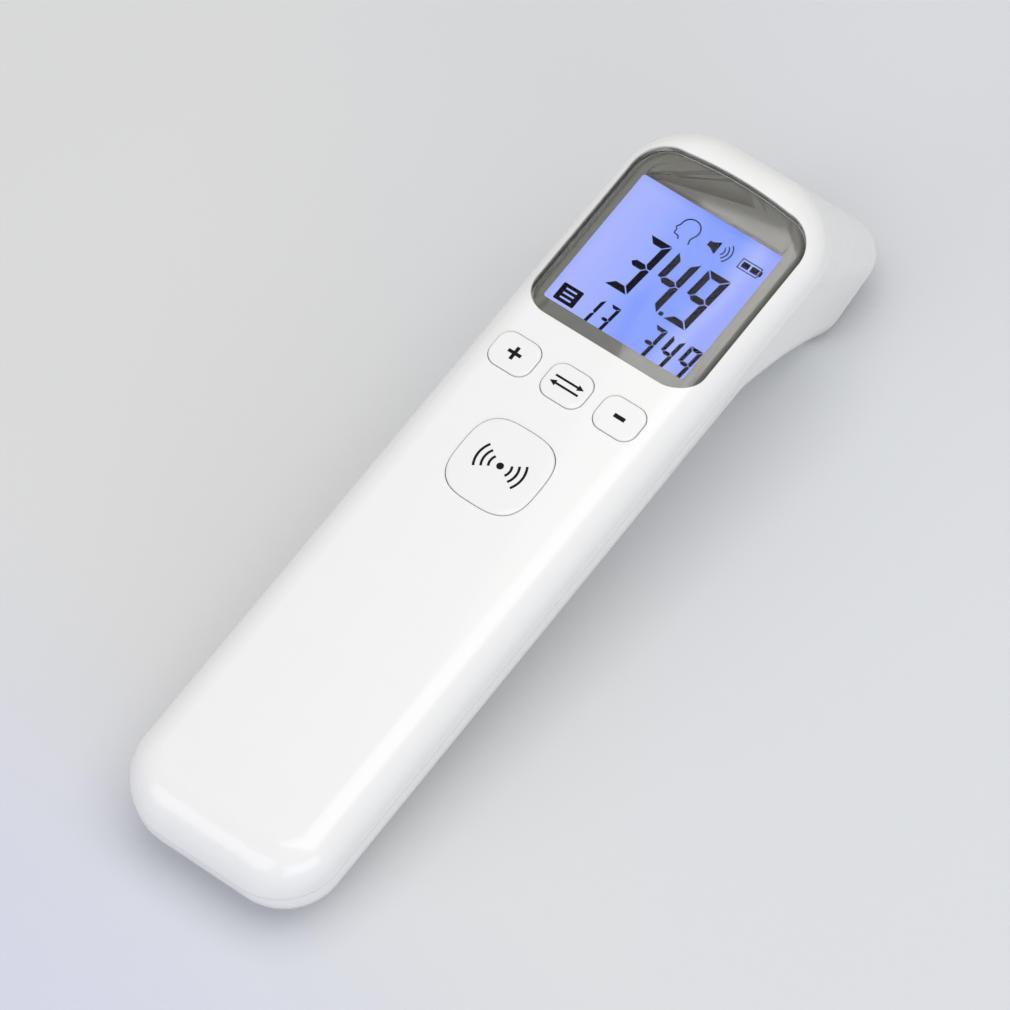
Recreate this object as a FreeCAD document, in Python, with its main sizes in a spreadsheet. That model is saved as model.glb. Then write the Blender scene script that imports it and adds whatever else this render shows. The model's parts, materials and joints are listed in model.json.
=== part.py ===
import FreeCAD, Part
import math
import os

import Sketcher

# A hand-held non-contact thermometer that lies on its back.
# Every shape is drawn in the body's own axes: X to the right of the display, Y from the
# handle's end towards the head, Z out of the front face, whose plane is Z = 0.
# rest_placement() then tilts the whole instrument onto the surface that it lies on.

V = FreeCAD.Vector
DOC = FreeCAD.newDocument("thermometer")

DIMENSIONS = [
    # casing
    ("body_wide", 38.0), ("body_long", 146.4), ("handle_deep", 19.0), ("seam_deep", 7.5),
    ("end_corner", 10.6), ("crown_corner", 13.3), ("side_round", 5.4), ("crown_round", 5.5),
    ("end_round", 8.5), ("rear_round", 10.2), ("wall", 1.8), ("seam_gap", 0.12),
    ("head_slope", 24.5), ("snout_taper", 8.8), ("snout_corner", 7.3),
    ("rim_along", 150.2), ("rim_deep", 35.8), ("rim_tilt", 19.0), ("rim_lip", 1.3),
    ("rim_half_wide", 14.6), ("rim_half_long", 11.6), ("rim_corner", 7.3), ("rim_recess", 1.0),
    # window and display
    ("window_wide", 33.3), ("window_low", 104.6), ("window_high", 141.3), ("window_bow", 0.75),
    ("window_top_corner", 6.3), ("window_low_corner", 5.2), ("window_recess", 0.35),
    ("lens_thick", 1.15), ("lens_gap", 0.15), ("border_thick", 0.1), ("tape_thick", 0.15),
    ("tape_wide", 1.6), ("ledge_wide", 2.0), ("ledge_thick", 0.6), ("view_wide", 27.7),
    ("view_low", 107.7), ("view_high", 134.8), ("lcd_wide", 29.8), ("lcd_low", 105.3),
    ("lcd_high", 137.4), ("lcd_pins", 2.2), ("lcd_top", 3.0), ("glass_thick", 0.7),
    ("film_thick", 0.2), ("guide_thick", 2.2), ("holder_wall", 0.55),
    # keys
    ("scan_along", 78.4), ("scan_wide", 15.3), ("scan_long", 15.4), ("key_along", 95.9),
    ("key_pitch", 10.38), ("key_wide", 8.0), ("key_long", 6.6), ("key_corner", 2.3),
    ("key_gap", 0.13), ("key_proud", 0.3), ("flange_top", 2.2),
    ("flange_thick", 0.7), ("flange_lip", 0.5), ("stem_radius", 2.2),
    # board and switches
    ("board_deep", 9.2), ("board_thick", 1.2), ("board_low", 63.6), ("board_high", 143.6),
    ("board_wide", 31.0), ("board_corner", 8.0), ("switch_side", 6.0), ("switch_tall", 3.4),
    ("plunger_radius", 1.7), ("plunger_top", 4.9), ("plunger_long", 2.1),
    # battery bay
    ("cell_radius", 5.25), ("cell_can", 43.5), ("nipple_radius", 1.9), ("nipple_tall", 1.0),
    ("cell_pitch", 11.2), ("cell_deep", 11.2), ("bay_wide", 22.6), ("bay_low", 7.8),
    ("bay_high", 59.4), ("bay_roof", 5.8), ("bay_wall", 1.3), ("cover_split", 14.5),
    ("cover_end", 60.0), ("cover_wall", 1.6), ("cover_gap", 0.12), ("plate_thick", 0.4),
    # sensor
    ("port_radius", 6.2), ("port_long", 4.0), ("barrel_radius", 7.4), ("barrel_long", 10.0),
    ("cup_radius", 6.8), ("can_radius", 4.6), ("pin_radius", 0.22), ("post_reach", 10.2),
    # fasteners
    ("screw_radius", 0.8), ("screw_head", 1.7), ("post_radius", 1.9),
]


class Size:
    """A length with the spreadsheet expression behind it."""

    def __init__(self, value, text):
        self.value = value
        self.text = text

    def __add__(self, other):
        other = as_size(other)
        return Size(self.value + other.value, f"({self.text} + {other.text})")

    def __sub__(self, other):
        other = as_size(other)
        return Size(self.value - other.value, f"({self.text} - {other.text})")

    def __radd__(self, other):
        return as_size(other) + self

    def __rsub__(self, other):
        return as_size(other) - self

    def __mul__(self, factor):
        return Size(self.value * factor, f"({self.text} * {factor})")

    def __neg__(self):
        return Size(-self.value, f"(0 - {self.text})")


def as_size(number):
    return number if isinstance(number, Size) else Size(float(number), f"{number:.6g}")


def fill_sheet():
    """Writes the driving dimensions to the spreadsheet, one named cell each."""
    sheet = DOC.addObject("Spreadsheet::Sheet", "Dims")
    for row, (name, value) in enumerate(DIMENSIONS, 1):
        sheet.set(f"A{row}", name)
        sheet.set(f"B{row}", f"{value}")
        sheet.setAlias(f"B{row}", name)
    DOC.recompute()
    return {name: Size(value, f"Dims.{name}") for name, value in DIMENSIONS}


S = fill_sheet()
D = {name: size.value for name, size in S.items()}
HALF = D["body_wide"] / 2
SLOPE = math.tan(math.radians(D["head_slope"]))
TAPER = math.tan(math.radians(D["snout_taper"]))
RIM_TURN = FreeCAD.Rotation(V(1, 0, 0), 180 + D["rim_tilt"])
RIM_CENTRE = V(0, D["rim_along"], -D["rim_deep"])
SENSOR = FreeCAD.Placement(RIM_CENTRE, RIM_TURN)
THROAT = [(142.3, -43.4), (123.4, -23.9), (100.0, -10.6)]
HANDLE_END = 118.0
CELL_SIDES = {"left": -1, "right": 1}
CASE_SCREWS = [(x, y) for x in (-14.6, 14.6) for y in (30.5, 54.0)]
BOARD_SCREWS = [(-13.0, 66.6), (13.0, 66.6), (-8.5, 140.9), (8.5, 140.9)]


SUBPARTS = []


# ---------------------------------------------------------------- helpers

def keep(obj, name):
    """Makes obj one of the instrument's sub-parts, in its resting place."""
    obj.Label = name
    SUBPARTS.append(obj)
    return obj


def shaped(name, shape):
    """A sub-part whose solid is built by this file's own code."""
    obj = DOC.addObject("Part::Feature", name)
    obj.Shape = shape
    return keep(obj, name)


def bind(obj, prop, size):
    setattr(obj, prop, size.value)
    obj.setExpression(prop, size.text)


def block(name, x_range, y_range, z_range, at=FreeCAD.Placement()):
    """A Part::Box between two corners, with its three lengths bound to the sheet."""
    obj = DOC.addObject("Part::Box", name)
    ends = [[as_size(v) for v in pair] for pair in (x_range, y_range, z_range)]
    for prop, (low, high) in zip(("Length", "Width", "Height"), ends):
        bind(obj, prop, high - low)
    corner = FreeCAD.Placement(V(*[low.value for low, _ in ends]), FreeCAD.Rotation())
    obj.Placement = at.multiply(corner)
    return obj


def rod(name, radius, height, base, at=FreeCAD.Placement(), turn=FreeCAD.Rotation()):
    """A Part::Cylinder that stands on base, along Z unless turned."""
    obj = DOC.addObject("Part::Cylinder", name)
    bind(obj, "Radius", as_size(radius))
    bind(obj, "Height", as_size(height))
    obj.Placement = at.multiply(FreeCAD.Placement(V(*base), turn))
    return obj


def cut(name, base, *tools):
    obj = DOC.addObject("Part::Cut", name)
    obj.Base = base
    obj.Tool = tools[0] if len(tools) == 1 else join(name + "_tools", *tools)
    return obj


def join(name, *objects):
    obj = DOC.addObject("Part::MultiFuse", name)
    obj.Shapes = list(objects)
    return obj


def origin_plane(body, role):
    return next(f for f in body.Origin.OriginFeatures if f.Role == role)


def place_point(sketch, line, x, y):
    """Pins the start of a sketch line at x, y with bound distances from the sketch's origin."""
    for kind, size in (("DistanceX", as_size(x)), ("DistanceY", as_size(y))):
        if abs(size.value) < 1e-9:
            axis = -2 if kind == "DistanceX" else -1
            sketch.addConstraint(Sketcher.Constraint("PointOnObject", line, 1, axis))
            continue
        ends = (-1, 1, line, 1) if size.value > 0 else (line, 1, -1, 1)
        shown = size if size.value > 0 else -size
        row = sketch.addConstraint(Sketcher.Constraint(kind, *ends, shown.value))
        if "Dims" in shown.text:
            sketch.setExpression(f"Constraints[{row}]", shown.text)


def polygon_sketch(body, name, role, points, lift=0.0):
    """A closed polygon on one of the body's own planes, each corner held by two distances."""
    sketch = body.newObject("Sketcher::SketchObject", name)
    sketch.AttachmentSupport = (origin_plane(body, role), [""])
    sketch.MapMode = "FlatFace"
    sketch.AttachmentOffset = FreeCAD.Placement(V(0, 0, lift), FreeCAD.Rotation())
    spots = [V(as_size(x).value, as_size(y).value, 0) for x, y in points]
    count = len(spots)
    for i in range(count):
        sketch.addGeometry(Part.LineSegment(spots[i], spots[(i + 1) % count]), False)
    for i in range(count):
        sketch.addConstraint(Sketcher.Constraint("Coincident", i, 2, (i + 1) % count, 1))
    for i, (x, y) in enumerate(points):
        place_point(sketch, i, x, y)
    return sketch


def padded(name, points, z_range, corner=None, holes=()):
    """A plate: a polygon padded between two heights, with rounded upright edges and round holes."""
    low, high = (as_size(v) for v in z_range)
    body = DOC.addObject("PartDesign::Body", name)
    sketch = polygon_sketch(body, name + "_outline", "XY_Plane", points, low.value)
    pad = body.newObject("PartDesign::Pad", name + "_pad")
    pad.Profile = sketch
    bind(pad, "Length", high - low)
    DOC.recompute()
    if corner is not None:
        upright = [
            f"Edge{i}"
            for i, edge in enumerate(pad.Shape.Edges, 1)
            if edge.BoundBox.XLength < 1e-6 and edge.BoundBox.YLength < 1e-6
        ]
        rounding = body.newObject("PartDesign::Fillet", name + "_corners")
        rounding.Base = (pad, upright)
        bind(rounding, "Radius", as_size(corner))
        DOC.recompute()
    if holes:
        drill = body.newObject("Sketcher::SketchObject", name + "_holes")
        drill.AttachmentSupport = (origin_plane(body, "XY_Plane"), [""])
        drill.MapMode = "FlatFace"
        drill.AttachmentOffset = FreeCAD.Placement(V(0, 0, high.value), FreeCAD.Rotation())
        for x, y, radius in holes:
            drill.addGeometry(Part.Circle(V(x, y, 0), V(0, 0, 1), radius), False)
        before = body.Shape.Volume
        pocket = body.newObject("PartDesign::Pocket", name + "_drilled")
        pocket.Profile = drill
        pocket.Type = "ThroughAll"
        pocket.Midplane = True
        DOC.recompute()
        if body.Shape.Volume >= before:
            raise RuntimeError(f"{name}: the holes cut nothing")
    return body


def turned(name, points, at=FreeCAD.Placement()):
    """A turned piece: a half profile of (radius, height) points revolved about Z."""
    body = DOC.addObject("PartDesign::Body", name)
    sketch = polygon_sketch(body, name + "_profile", "XZ_Plane", points)
    spin = body.newObject("PartDesign::Revolution", name + "_turned")
    spin.Profile = sketch
    spin.ReferenceAxis = (sketch, ["V_Axis"])
    spin.Angle = 360
    body.Placement = at
    return body


def box_shape(x_range, y_range, z_range):
    """A plain box as a bare shape, for the casing's own booleans."""
    (x0, x1), (y0, y1), (z0, z1) = x_range, y_range, z_range
    return Part.makeBox(x1 - x0, y1 - y0, z1 - z0, V(x0, y0, z0))


def corner_arc(x, y, radius, start, z):
    """A quarter arc about (x, y), counter-clockwise from the angle start, in degrees."""
    turns = [math.radians(start + step) for step in (0, 45, 90)]
    return Part.Arc(*[V(x + radius * math.cos(t), y + radius * math.sin(t), z) for t in turns])


def outline(half, low, high, low_radius, high_radius, z):
    """A closed wire in the plane z: a rectangle whose low and high corners have their own radii."""
    spec = [(1, high, high_radius, 0), (-1, high, high_radius, 90),
            (-1, low, low_radius, 180), (1, low, low_radius, 270)]
    edges = []
    ends = []
    for side, y, radius, start in spec:
        if radius > 0:
            inner_y = y - radius if y == high else y + radius
            arc = corner_arc(side * (half - radius), inner_y, radius, start, z)
            ends.append((arc.StartPoint, arc.EndPoint))
            edges.append(arc.toShape())
        else:
            ends.append((V(side * half, y, z), V(side * half, y, z)))
            edges.append(None)
    wire = []
    for i, edge in enumerate(edges):
        if edge is not None:
            wire.append(edge)
        wire.append(Part.LineSegment(ends[i][1], ends[(i + 1) % 4][0]).toShape())
    return Part.Wire(wire)


def prism(wire, travel):
    return Part.Face(wire).extrude(travel)


# ---------------------------------------------------------------- casing forms

def front_form(inset):
    """The front cover's outer form, moved inwards by inset: straight sides down to the seam, a head
    end that slopes outwards, and a rounded front edge that is largest at the handle's end."""
    half = HALF - inset
    deep = D["seam_deep"] - inset
    join_low = 80.0
    join_high = 95.0
    handle = outline(half, inset, join_high, D["end_corner"] - inset, 0, -inset)
    handle = prism(handle, V(0, 0, -deep))
    crown = D["body_long"] + inset * SLOPE - inset / math.cos(math.radians(D["head_slope"]))
    head = outline(half, join_low, crown, 0, D["crown_corner"] - inset, -inset)
    head = prism(head, V(0, deep * SLOPE, -deep))
    base = DOC.addObject("Part::Feature", "front_form")
    base.Shape = handle.fuse(head).removeSplitter()
    rounding = DOC.addObject("Part::Fillet", "front_form_rounded")
    rounding.Base = base
    rounding.Edges = front_radii(base.Shape, inset)
    DOC.recompute()
    return rounding.Shape.copy()


def front_radii(shape, inset):
    """(edge number, first radius, last radius) for each edge round the front face."""
    side, end, crown = (D[k] - inset for k in ("side_round", "end_round", "crown_round"))
    rows = []
    for number, edge in enumerate(shape.Edges, 1):
        b = edge.BoundBox
        if abs(b.ZMin + inset) > 1e-6 or abs(b.ZMax + inset) > 1e-6:
            continue
        far = end if b.YMin < HALF else crown
        if b.YLength < 1e-3:
            rows.append((number, far, far))
        elif b.XLength < 1e-3:
            rows.append((number, side, side))
        elif abs(edge.Vertexes[0].X) > abs(edge.Vertexes[-1].X):
            rows.append((number, side, far))
        else:
            rows.append((number, far, side))
    return rows


def taper_wedges(half):
    """Cutters that lead the handle's sides gradually into the snout's tapered sides."""
    tall = 30.0
    wedges = []
    for side in (1, -1):
        rings = []
        for y, clear in ((90.0, 0.3), (HANDLE_END + 0.5, 0.03)):
            x = half + clear
            corners = [(x, 0), (x - tall * TAPER, -tall), (x + 20, -tall), (x + 20, 0), (x, 0)]
            rings.append(Part.makePolygon([V(side * a, y, b - D["seam_deep"]) for a, b in corners]))
        wedges.append(Part.makeLoft(rings, True, True))
    return wedges


def throat_cutter(inset):
    """The space behind the snout's low side: a curved wall from the rim up to the handle."""
    lift = inset * math.sqrt(0.5)
    first, middle, last = (V(0, y + lift, z + lift) for y, z in THROAT)
    far_y, far_z = 60.0, -70.0
    rest = [last, V(0, far_y, last.z), V(0, far_y, far_z), V(0, first.y, far_z), first]
    wire = Part.Wire([Part.Arc(first, middle, last).toShape()] + Part.makePolygon(rest).Edges)
    cutter = Part.Face(wire).extrude(V(4 * HALF, 0, 0))
    cutter.translate(V(-2 * HALF, 0, 0))
    return cutter


def snout_form(inset):
    """The tapered snout between the seam and a level below the rim."""
    floor = 42.0
    rings = []
    for deep, corner in ((D["seam_deep"], D["crown_corner"]), (floor, 6.0)):
        half = HALF - inset - (deep - D["seam_deep"]) * TAPER
        high = D["body_long"] + deep * SLOPE - inset / math.cos(math.radians(D["head_slope"]))
        rings.append(outline(half, 80.0, high, 0, corner - inset, -deep))
    snout = Part.makeLoft(rings, True, True).cut(throat_cutter(inset))
    low_edges = []
    for edge in snout.Edges:
        b = edge.BoundBox
        middle = edge.valueAt((edge.FirstParameter + edge.LastParameter) / 2)
        if b.ZLength > 15 and b.YLength > 15 and abs(middle.x) > 5 and middle.y < 135:
            low_edges.append(edge)
    return snout.makeFillet(D["snout_corner"] - inset, low_edges)


def rim_side(depth):
    """A big box that fills everything outside the plane depth below the rim."""
    box = Part.makeBox(120, 120, 60, V(-60, -60, -depth))
    box.Placement = SENSOR
    return box


def rear_form(inset):
    """The rear cover's outer form, moved inwards by inset: the handle's rounded back with the snout."""
    deep = D["handle_deep"] - inset
    end = HANDLE_END
    handle = outline(HALF - inset, inset, end, D["end_corner"] - inset, 0, 0)
    handle = prism(handle, V(0, 0, -deep))
    back = [
        e for e in handle.Edges
        if e.BoundBox.ZMax < -deep + 1e-6 and e.BoundBox.YMin < end - 1
    ]
    handle = handle.makeFillet(D["rear_round"] - inset, back)
    handle = handle.cut(taper_wedges(HALF - inset))
    above = box_shape((-60, 60), (-20, 200), (-D["seam_deep"], 60))
    return handle.fuse(snout_form(inset)).cut([above, rim_side(inset)])


def lowest(points, turn, low, high):
    """The lowest turned height among the points whose Y lies between low and high."""
    return min(turn.multVec(p).z for p in points if low < p.y < high)


def rest_placement():
    """The tilt at which the handle's rounded end and the snout's low rim edge share one level."""
    points = rear_form(0).tessellate(0.02)[0]
    small, large = 0.0, 20.0
    while large - small > 1e-5:
        tilt = (small + large) / 2
        turn = FreeCAD.Rotation(V(1, 0, 0), tilt)
        if lowest(points, turn, 110, 200) < lowest(points, turn, -1, 60):
            small = tilt
        else:
            large = tilt
    spread = [turn.multVec(p).y for p in points]
    middle = (min(spread) + max(spread)) / 2
    return FreeCAD.Placement(V(0, -middle, -lowest(points, turn, -1, 200)), turn)


# ---------------------------------------------------------------- casing

WINDOW_SHIFT = 0.2
KEY_SPOTS = {"plus": (-1, "key"), "mode": (0, "key"), "minus": (1, "key"), "scan": (0, "scan")}


def key_place(name):
    """The centre of a key on the front face."""
    side, kind = KEY_SPOTS[name]
    return side * D["key_pitch"], D[kind + "_along"]


def window_wire(grow, z):
    """The window's outline, moved outwards by grow: its upper side is bowed."""
    half = D["window_wide"] / 2 + grow
    low, high = D["window_low"] - grow, D["window_high"] + grow
    top, base = D["window_top_corner"] + grow, D["window_low_corner"] + grow
    corners = [(1, high, top, 0), (-1, high, top, 90), (-1, low, base, 180), (1, low, base, 270)]
    arcs = []
    for side, y, radius, start in corners:
        inner_y = y - radius if y == high else y + radius
        arcs.append(corner_arc(side * (half - radius) + WINDOW_SHIFT, inner_y, radius, start, z))
    bow = Part.Arc(arcs[0].EndPoint, V(WINDOW_SHIFT, high + D["window_bow"], z), arcs[1].StartPoint)
    sides = [bow] + [
        Part.LineSegment(arcs[i].EndPoint, arcs[(i + 1) % 4].StartPoint) for i in (1, 2, 3)
    ]
    return Part.Wire([item.toShape() for pair in zip(arcs, sides) for item in pair])


def key_wire(name, grow, z):
    """A key's outline: a rounded rectangle, or a soft square with bulging sides for the scan key."""
    x, y = key_place(name)
    if name != "scan":
        half, deep = D["key_wide"] / 2 + grow, D["key_long"] / 2 + grow
        radius = D["key_corner"] + grow
        wire = outline(half, y - deep, y + deep, radius, radius, z)
        wire.translate(V(x, 0, 0))
        return wire
    half, deep = D["scan_wide"] / 2 + grow, D["scan_long"] / 2 + grow
    power = 2 / 3.1
    points = []
    for step in range(48):
        turn = 2 * math.pi * step / 48
        c, s = math.cos(turn), math.sin(turn)
        points.append(V(
            x + half * math.copysign(abs(c) ** power, c),
            y + deep * math.copysign(abs(s) ** power, s),
            z,
        ))
    curve = Part.BSplineCurve()
    curve.interpolate(Points=points, PeriodicFlag=True)
    return Part.Wire([curve.toShape()])


def through(wire, depth=12.0):
    """A cutter that runs from the wire's plane down by depth."""
    return prism(wire, V(0, 0, -depth))


def skin(outer, inner):
    """The layer of the front form between two insets."""
    return front_form(outer).cut(front_form(inner))


def front_cover():
    wall = D["wall"]
    shell = skin(0, wall)
    ledge_inset = wall + D["ledge_thick"]
    ledge = skin(wall - 0.05, ledge_inset).common(through(window_wire(0.8, 1.0), 5.6))
    shell = shell.cut(through(window_wire(0, 1.0), 5.0))
    ledge = ledge.cut(through(window_wire(-D["ledge_wide"], 1.0)))
    shell = shell.fuse(ledge)
    for x, y in CASE_SCREWS:
        boss = Part.makeCylinder(D["post_radius"], 6.2, V(x, y, -7.2))
        hole = Part.makeCylinder(D["screw_radius"] + 0.05, 5.0, V(x, y, -7.5))
        shell = shell.fuse(boss.common(front_form(0.4))).cut(hole)
    for x, y in BOARD_SCREWS:
        shell = shell.fuse(board_boss(x, y).common(front_form(wall - 0.05)))
        shell = shell.cut(Part.makeCylinder(D["screw_radius"] + 0.05, 5.0, V(x, y, -D["board_deep"])))
    for name in KEY_SPOTS:
        shell = shell.cut(through(key_wire(name, D["key_gap"], 1.0), 3.2))
    return shaped("front_cover", shell.removeSplitter())


def board_boss(x, y):
    return Part.makeCylinder(D["post_radius"], D["board_deep"] - 1.0, V(x, y, -D["board_deep"]))


def nozzle_seat(shell):
    """The rim's shallow recess and the hole for the nozzle's barrel."""
    recess = rim_outline(D["rim_lip"], 5.0)
    barrel = Part.makeCylinder(D["barrel_radius"] + 0.3, 8.0, V(0, 0, -4.0))
    recess = prism(recess, V(0, 0, -5.0 - D["rim_recess"]))
    for cutter in (recess, barrel):
        cutter.Placement = SENSOR.multiply(cutter.Placement)
        shell = shell.cut(cutter)
    return shell


def rim_outline(inset, z):
    """The rim's outline in the sensor's own axes, moved inwards."""
    half, deep = D["rim_half_wide"] - inset, D["rim_half_long"] - inset
    corner = D["rim_corner"] - inset
    return outline(half, -deep, deep, corner, corner, z)


def battery_tray():
    """The tray that holds the cells, with the ledge that the battery cover hooks onto."""
    bay, wall = D["bay_wide"] / 2, D["bay_wall"]
    low, high, roof = D["bay_low"] - wall, D["bay_high"] + wall, D["bay_roof"] - 1.2
    split = D["cover_split"]
    tray = box_shape((-bay - wall, bay + wall), (low, high), (-split, -roof))
    ledge = box_shape((-18, 18), (1.5, high + 1.6), (-split + 0.1, -split + 1.3))
    bulkhead = box_shape((-17, 17), (D["cover_end"] + 0.2, high + 1.6), (-D["handle_deep"], -split + 0.5))
    outer = rear_form(0.6)
    tray = tray.fuse([ledge.common(outer), bulkhead.common(outer)])
    tray = tray.cut(box_shape((-bay, bay), (D["bay_low"], D["bay_high"]), (-30, -D["bay_roof"])))
    for side in (-1, 1):
        for start in (11.3, 35.3):
            near, far = sorted((side * 12.85, side * 14.25))
            tray = tray.cut(box_shape((near, far), (start, start + 12.2), (-30, -split + 2)))
    return tray.cut(box_shape((-4.3, 4.3), (50, 70), (-17.45, -16.1)))


def rear_cover():
    split, end = D["cover_split"], D["cover_end"]
    shell = rear_form(0).cut(rear_form(D["wall"]))
    shell = shell.cut(box_shape((-30, 30), (-5, 200), (-D["seam_deep"] - D["seam_gap"], 5)))
    shell = shell.cut(box_shape((-30, 30), (-5, end + D["cover_gap"]), (-30, -split)))
    shell = nozzle_seat(shell).fuse(battery_tray())
    for x, y in CASE_SCREWS:
        post = Part.makeCylinder(D["post_radius"], split - 7.7, V(x, y, -split + 0.1))
        shell = shell.fuse(post.common(rear_form(0.6)))
        shell = shell.cut(Part.makeCylinder(D["screw_radius"] + 0.1, 20.0, V(x, y, -20.0)))
        shell = shell.cut(Part.makeCylinder(D["screw_head"] + 0.15, 8.0, V(x, y, -split - 6.6)))
    for side in (-1, 1):
        reach = side * D["post_reach"]
        post = Part.makeCylinder(1.7, 17.3, V(reach, 0, -19.0))
        hole = Part.makeCylinder(D["screw_radius"] + 0.05, 8.0, V(reach, 0, -19.5))
        for item in (post, hole):
            item.Placement = SENSOR.multiply(item.Placement)
        shell = shell.fuse(post).cut(hole)
    return shaped("rear_cover", shell.removeSplitter())


def battery_cover():
    split, end = D["cover_split"] + D["cover_gap"], D["cover_end"]
    cover = rear_form(0).cut(rear_form(D["cover_wall"]))
    cover = cover.common(box_shape((-30, 30), (-5, end), (-30, -split)))
    for step in range(5):
        y = 47.0 + 2.0 * step
        groove = Part.makeCylinder(0.6, 16.0, V(-8.0, y, -D["handle_deep"] - 0.2), V(1, 0, 0))
        cover = cover.cut(groove)
    parts = [
        box_shape((-4, 4), (end - 2.5, end - 0.2), (-17.42, -16.3)),
        box_shape((-4, 4), (end - 0.3, end + 1.4), (-17.05, -16.3)),
    ]
    for side in (-1, 1):
        near, far = sorted((side * 13.0, side * 14.1))
        for y in (20.0, 44.0):
            stem = box_shape((near, far), (y, y + 3), (-17.6, -12.2)).common(rear_form(0.5))
            parts += [stem, box_shape((near, far), (y, y + 5), (-13.0, -12.2))]
    return shaped("battery_cover", cover.fuse(parts).removeSplitter())


# ---------------------------------------------------------------- window

def window_lens():
    top = D["window_recess"]
    lens = skin(top, top + D["lens_thick"]).common(through(window_wire(-D["lens_gap"], 1.0), 5.0))
    return shaped("window_lens", lens)


def window_border():
    """The dark print behind the lens, with a straight opening over the display."""
    top = D["window_recess"] + D["lens_thick"]
    film = skin(top, top + D["border_thick"]).common(through(window_wire(-0.3, 1.0), 5.0))
    half = D["view_wide"] / 2
    opening = outline(half, D["view_low"], D["view_high"], 0.5, 0.5, 1.0)
    return shaped("window_border", film.cut(through(opening)))


def window_tape():
    """The ring of tape that holds the lens to the cover's ledge."""
    top = D["window_recess"] + D["lens_thick"] + D["border_thick"]
    film = skin(top, top + D["tape_thick"]).common(through(window_wire(-0.3, 1.0), 5.0))
    return shaped("window_tape", film.cut(through(window_wire(-0.3 - D["tape_wide"], 1.0))))


# ---------------------------------------------------------------- keys and switches

def key(name):
    """A key: a cap with softened edges, a flange behind the cover and a stem to its switch."""
    x, y = key_place(name)
    flange = D["flange_top"]
    cap = prism(key_wire(name, 0, D["key_proud"]), V(0, 0, -flange - D["key_proud"] - 0.1))
    rim = [e for e in cap.Edges if e.BoundBox.ZMin > D["key_proud"] - 1e-3]
    cap = cap.makeFillet(0.25, rim)
    back = through(key_wire(name, D["flange_lip"], -flange), D["flange_thick"])
    stem_long = D["plunger_top"] - flange - 0.3
    stem = Part.makeCylinder(D["stem_radius"], stem_long, V(x, y, -D["plunger_top"]))
    return shaped(name + "_button", cap.fuse([back, stem]).removeSplitter())


def switch(name):
    """A tact switch's housing, soldered to the board."""
    x, y = key_place(name)
    half = S["switch_side"] * 0.5
    foot = -S["board_deep"]
    housing = block(name + "_housing", (x - half, x + half), (y - half, y + half),
                    (foot, foot + S["switch_tall"]))
    well = rod(name + "_well", S["plunger_radius"] + 0.15, 4.0, (x, y, -7.6))
    return keep(cut(name + "_switch", housing, well), name + "_switch")


def plunger(name):
    x, y = key_place(name)
    base = (x, y, -D["plunger_top"] - D["plunger_long"])
    return keep(rod(name + "_plunger", S["plunger_radius"], S["plunger_long"], base), name + "_plunger")


# ---------------------------------------------------------------- display

def lcd_plate(name, depth, thick, low, inset=0.0):
    """One rectangular layer of the display, depth below the display's front."""
    half = S["lcd_wide"] * 0.5 - inset
    high = S["lcd_high"] - inset
    points = [(half, low), (half, high), (-half, high), (-half, low)]
    top = -(S["lcd_top"] + depth)
    return keep(padded(name, points, (top - thick, top)), name)


def display():
    film, glass, guide = S["film_thick"], S["glass_thick"], S["guide_thick"]
    rear_low = S["lcd_low"] + S["lcd_pins"]
    lcd_plate("lcd_front_polariser", 0, film, rear_low, 0.3)
    lcd_plate("lcd_front_glass", film, glass, S["lcd_low"])
    lcd_plate("lcd_rear_glass", film + glass, glass, rear_low)
    lcd_plate("lcd_rear_polariser", film + glass * 2, film, rear_low, 0.3)
    lcd_plate("backlight_guide", film * 2 + glass * 2, guide, rear_low, 0.1)


def lcd_holder():
    """The frame that carries the display's layers on the board."""
    half, wall = S["lcd_wide"] * 0.5 + 0.12, S["holder_wall"]
    low, high = S["lcd_low"] - 0.12, S["lcd_high"] + 0.12
    floor = -(S["lcd_top"] + S["film_thick"] * 2 + S["glass_thick"] * 2 + S["guide_thick"] + 0.05)
    frame = block("holder_frame", (-half - wall, half + wall), (low - wall, high + wall),
                  (-S["board_deep"], -(S["lcd_top"] + 0.9)))
    pocket = block("holder_pocket", (-half, half), (low, high), (floor, as_size(0)))
    slot = block("holder_slot", (-13.8, 13.8), (low, low + S["lcd_pins"]), (-12.0, 0.0))
    well = block("holder_well", (-6.0, 6.0), (high - 3.0, high), (-12.0, floor + 0.5))
    return keep(cut("lcd_holder", frame, pocket, slot, well), "lcd_holder")


def zebra_strip():
    """The rubber strip that joins the display's contacts to the board."""
    low = S["lcd_low"]
    under = S["lcd_top"] + S["film_thick"] + S["glass_thick"]
    strip = block("zebra_strip", (-13.4, 13.4), (low + 0.15, low + 1.85), (-S["board_deep"], -under))
    return keep(strip, "zebra_strip")


def backlight_leds():
    """Two side-firing lamps under the light guide's upper end."""
    lamps = []
    for number, x in enumerate((-3.5, 3.5), 1):
        lamp = block(f"lamp_{number}", (x - 1.2, x + 1.2),
                     (S["lcd_high"] - 2.0, S["lcd_high"] - 0.8), (-S["board_deep"], -7.4))
        lamps.append(lamp)
    return keep(compound("backlight_leds", lamps), "backlight_leds")


def compound(name, parts):
    obj = DOC.addObject("Part::Compound", name)
    obj.Links = parts
    return obj


# ---------------------------------------------------------------- board

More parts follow.
